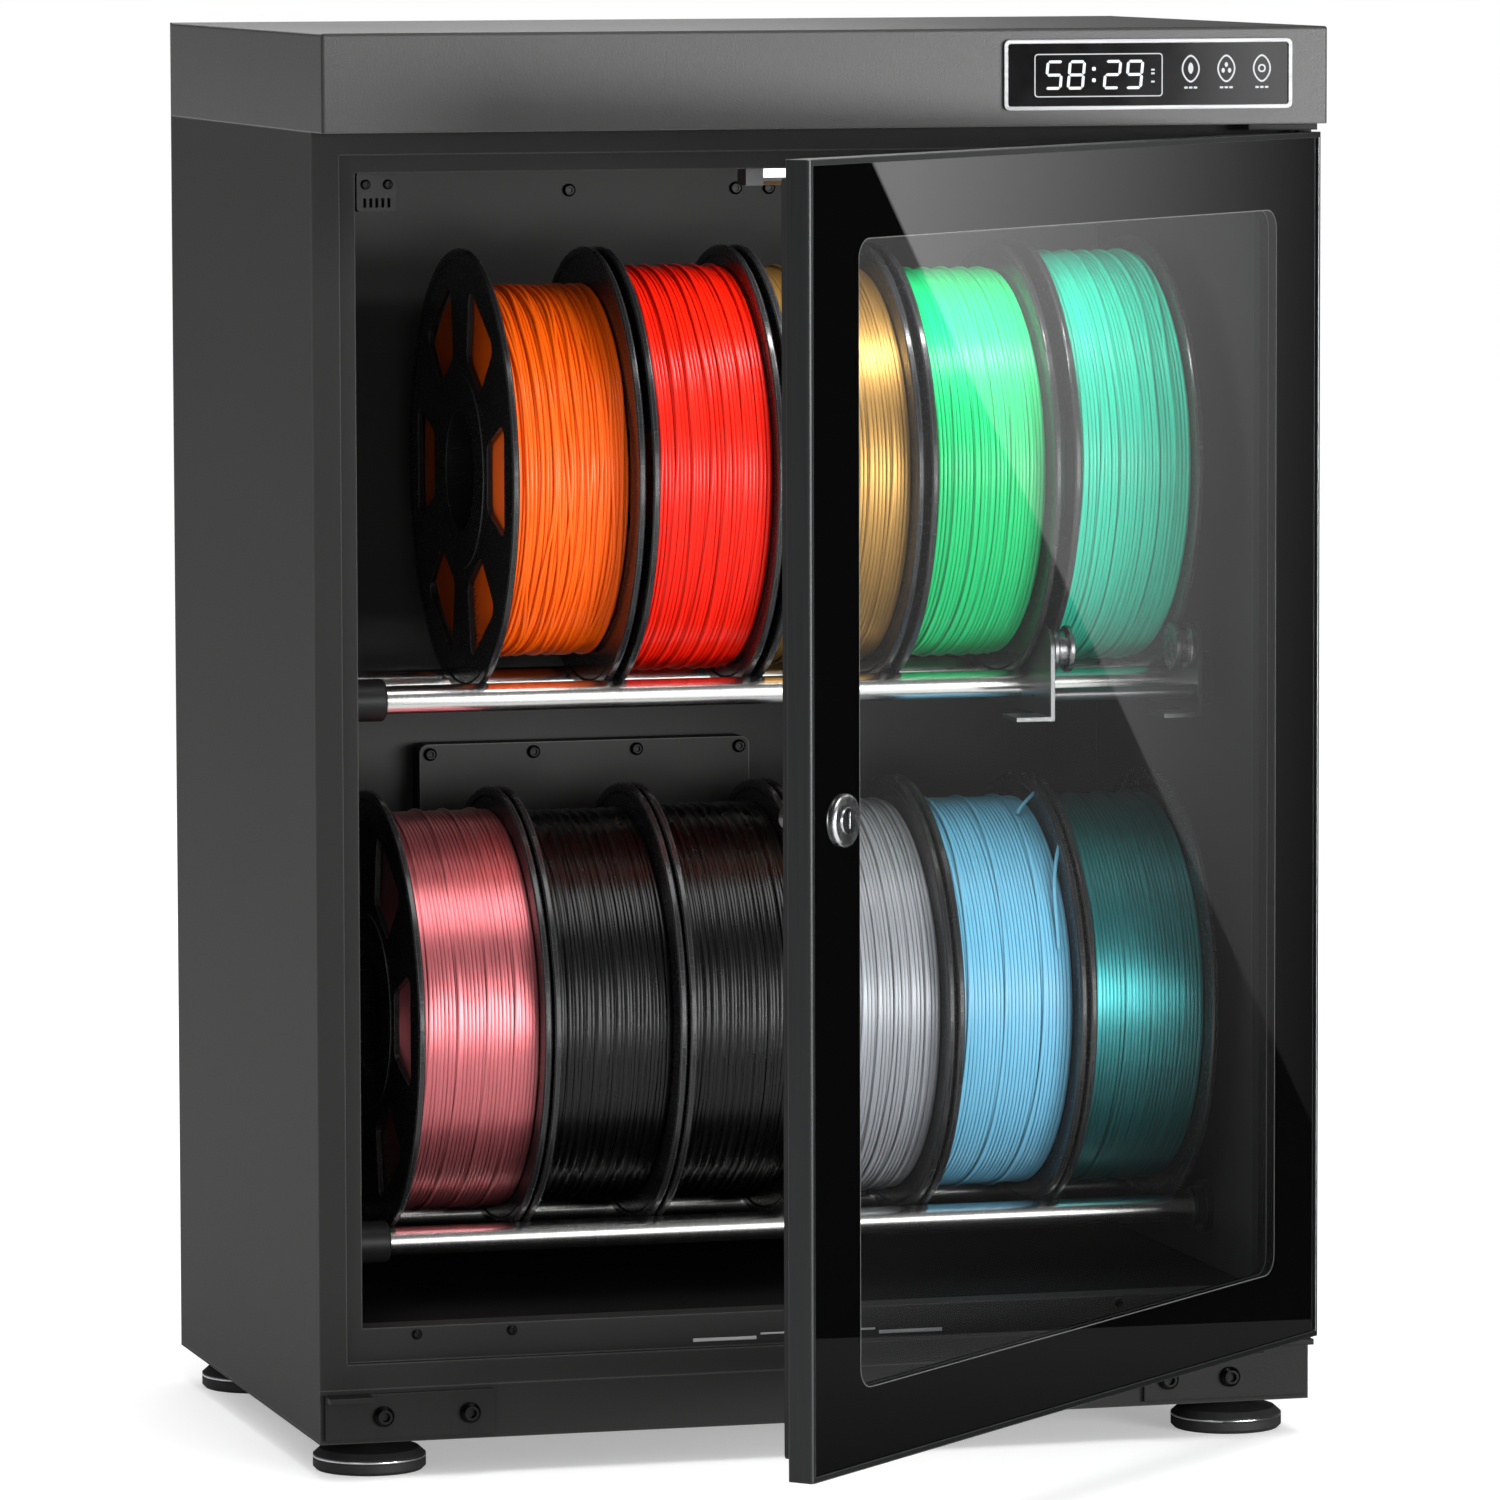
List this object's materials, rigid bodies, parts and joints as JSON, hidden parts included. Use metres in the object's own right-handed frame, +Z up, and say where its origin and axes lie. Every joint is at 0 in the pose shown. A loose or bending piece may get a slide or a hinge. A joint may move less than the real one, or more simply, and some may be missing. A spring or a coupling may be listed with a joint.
{
  "type": "filament dryer cabinet",
  "caption": "Tall dry cabinet for filament spools: glass door with cam lock, control head, spools turning on chromed rods and rollers, levelling feet.",
  "frame": {"origin": "on the floor, at the middle of the footprint box of the cabinet with its door open as pictured; the front frame plane is 13 mm behind it", "axes": "+Z up, +X to the viewer's right when facing the door, +Y to the back"},
  "size_m": [0.457, 0.6192, 0.633],
  "materials": {
    "body_paint": "fine-grained charcoal powder coat",
    "head_paint": "fine-grained charcoal powder coat",
    "bezel": "satin bright",
    "panel_glass": "gloss black",
    "circuit_board": "solder mask green",
    "black_plastic": "moulded black",
    "heater_fins": "bare",
    "lamp": "white diffuser",
    "rod_chrome": "polished",
    "bracket_steel": "plated",
    "roller_steel": "turned",
    "screw_steel": "blackened and bare heads",
    "door_rim": "dark anodised, bright edge",
    "door_glass": "clear toughened",
    "border_black": "black",
    "seal_rubber": "black extruded seal",
    "lock_chrome": "polished",
    "foot_rubber": "black",
    "spool_black": "gloss black moulding",
    "filament_orange": "glossy filament",
    "filament_red": "glossy filament",
    "filament_gold": "glossy filament",
    "filament_green": "glossy filament",
    "filament_mint": "glossy filament",
    "filament_pink": "glossy filament",
    "filament_black_left": "glossy filament",
    "filament_black_right": "glossy filament",
    "filament_grey": "glossy filament",
    "filament_blue": "glossy filament",
    "filament_teal": "glossy filament"
  },
  "bodies": {
    "cabinet": {"left_side_panel": "body_paint", "right_side_panel": "body_paint", "back_panel": "body_paint", "rear_liner": "body_paint", "floor_panel": "body_paint", "ceiling_panel": "body_paint", "front_frame": "body_paint", "base_plinth": "body_paint", "head_cover": "head_paint", "control_bezel": "bezel", "control_glass": "panel_glass", "display_board": "circuit_board", "power_inlet": "black_plastic", "heater_cover": "body_paint", "heater_core": "heater_fins", "fan_frame": "black_plastic", "light_bar": "lamp", "humidity_sensor": "black_plastic", "upper_rods": "rod_chrome", "lower_rods": "rod_chrome", "rod_sockets": "black_plastic", "bracket_ears": "bracket_steel", "hinge_brackets": "body_paint", "screws": "screw_steel"},
    "door": {"door_frame": "door_rim", "door_glass": "door_glass", "door_liner": "border_black", "door_gasket": "seal_rubber", "lock_barrel": "lock_chrome"},
    "lock": {"lock_plug": "lock_chrome", "lock_cam": "bracket_steel"},
    "fan": {"fan_rotor": "black_plastic"},
    "front_rollers": {"front_rollers": "roller_steel"},
    "rear_rollers": {"rear_rollers": "roller_steel"},
    "foot_front_left": {"foot_front_left": "foot_rubber"},
    "foot_front_right": {"foot_front_right": "foot_rubber"},
    "foot_rear_left": {"foot_rear_left": "foot_rubber"},
    "foot_rear_right": {"foot_rear_right": "foot_rubber"},
    "spool_orange": {"spool_orange": "spool_black", "filament_orange": "filament_orange"},
    "spool_red": {"spool_red": "spool_black", "filament_red": "filament_red"},
    "spool_gold": {"spool_gold": "spool_black", "filament_gold": "filament_gold"},
    "spool_green": {"spool_green": "spool_black", "filament_green": "filament_green"},
    "spool_mint": {"spool_mint": "spool_black", "filament_mint": "filament_mint"},
    "spool_pink": {"spool_pink": "spool_black", "filament_pink": "filament_pink"},
    "spool_black_left": {"spool_black_left": "spool_black", "filament_black_left": "filament_black_left"},
    "spool_black_right": {"spool_black_right": "spool_black", "filament_black_right": "filament_black_right"},
    "spool_grey": {"spool_grey": "spool_black", "filament_grey": "filament_grey"},
    "spool_blue": {"spool_blue": "spool_black", "filament_blue": "filament_blue"},
    "spool_teal": {"spool_teal": "spool_black", "filament_teal": "filament_teal"}
  },
  "joints": [
    {"name": "door_swing", "type": "hinge", "parent": "cabinet", "child": "door", "pos_m": [0.22, 0.0055, 0.316], "axis": [0, 0, 1], "range_deg": [-44, 56]},
    {"name": "lock_turn", "type": "hinge", "parent": "door", "child": "lock", "pos_m": [-0.08032, -0.28452, 0.316], "axis": [0.6947, -0.7193, 0], "range_deg": [0, 90]},
    {"name": "spool_orange_spin", "type": "hinge", "parent": "cabinet", "child": "spool_orange", "pos_m": [0, 0.138, 0.434], "axis": [1, 0, 0], "continuous": true},
    {"name": "spool_red_spin", "type": "hinge", "parent": "cabinet", "child": "spool_red", "pos_m": [0, 0.138, 0.434], "axis": [1, 0, 0], "continuous": true},
    {"name": "spool_gold_spin", "type": "hinge", "parent": "cabinet", "child": "spool_gold", "pos_m": [0, 0.138, 0.434], "axis": [1, 0, 0], "continuous": true},
    {"name": "spool_green_spin", "type": "hinge", "parent": "cabinet", "child": "spool_green", "pos_m": [0, 0.138, 0.434], "axis": [1, 0, 0], "continuous": true},
    {"name": "spool_mint_spin", "type": "hinge", "parent": "cabinet", "child": "spool_mint", "pos_m": [0, 0.138, 0.436], "axis": [1, 0, 0], "continuous": true},
    {"name": "spool_pink_spin", "type": "hinge", "parent": "cabinet", "child": "spool_pink", "pos_m": [0, 0.138, 0.191], "axis": [1, 0, 0], "continuous": true},
    {"name": "spool_black_left_spin", "type": "hinge", "parent": "cabinet", "child": "spool_black_left", "pos_m": [0, 0.138, 0.191], "axis": [1, 0, 0], "continuous": true},
    {"name": "spool_black_right_spin", "type": "hinge", "parent": "cabinet", "child": "spool_black_right", "pos_m": [0, 0.138, 0.191], "axis": [1, 0, 0], "continuous": true},
    {"name": "spool_grey_spin", "type": "hinge", "parent": "cabinet", "child": "spool_grey", "pos_m": [0, 0.138, 0.191], "axis": [1, 0, 0], "continuous": true},
    {"name": "spool_blue_spin", "type": "hinge", "parent": "cabinet", "child": "spool_blue", "pos_m": [0, 0.138, 0.191], "axis": [1, 0, 0], "continuous": true},
    {"name": "spool_teal_spin", "type": "hinge", "parent": "cabinet", "child": "spool_teal", "pos_m": [0, 0.138, 0.191], "axis": [1, 0, 0], "continuous": true},
    {"name": "front_roller_spin", "type": "hinge", "parent": "cabinet", "child": "front_rollers", "pos_m": [0.155, 0.0685, 0.35294], "axis": [1, 0, 0], "continuous": true},
    {"name": "rear_roller_spin", "type": "hinge", "parent": "cabinet", "child": "rear_rollers", "pos_m": [0.155, 0.2075, 0.35294], "axis": [1, 0, 0], "continuous": true},
    {"name": "fan_spin", "type": "hinge", "parent": "cabinet", "child": "fan", "pos_m": [-0.046, 0.278, 0.24], "axis": [0, 1, 0], "continuous": true},
    {"name": "foot_front_left_turn", "type": "hinge", "parent": "cabinet", "child": "foot_front_left", "pos_m": [-0.199, 0.043, 0.01], "axis": [0, 0, 1], "continuous": true},
    {"name": "foot_front_right_turn", "type": "hinge", "parent": "cabinet", "child": "foot_front_right", "pos_m": [0.199, 0.043, 0.01], "axis": [0, 0, 1], "continuous": true},
    {"name": "foot_rear_left_turn", "type": "hinge", "parent": "cabinet", "child": "foot_rear_left", "pos_m": [-0.199, 0.277, 0.01], "axis": [0, 0, 1], "continuous": true},
    {"name": "foot_rear_right_turn", "type": "hinge", "parent": "cabinet", "child": "foot_rear_right", "pos_m": [0.199, 0.277, 0.01], "axis": [0, 0, 1], "continuous": true}
  ],
  "couplings": [
    {"joint": "front_roller_spin", "follows": "spool_mint_spin", "ratio": -12.5},
    {"joint": "rear_roller_spin", "follows": "spool_mint_spin", "ratio": -12.5}
  ]
}
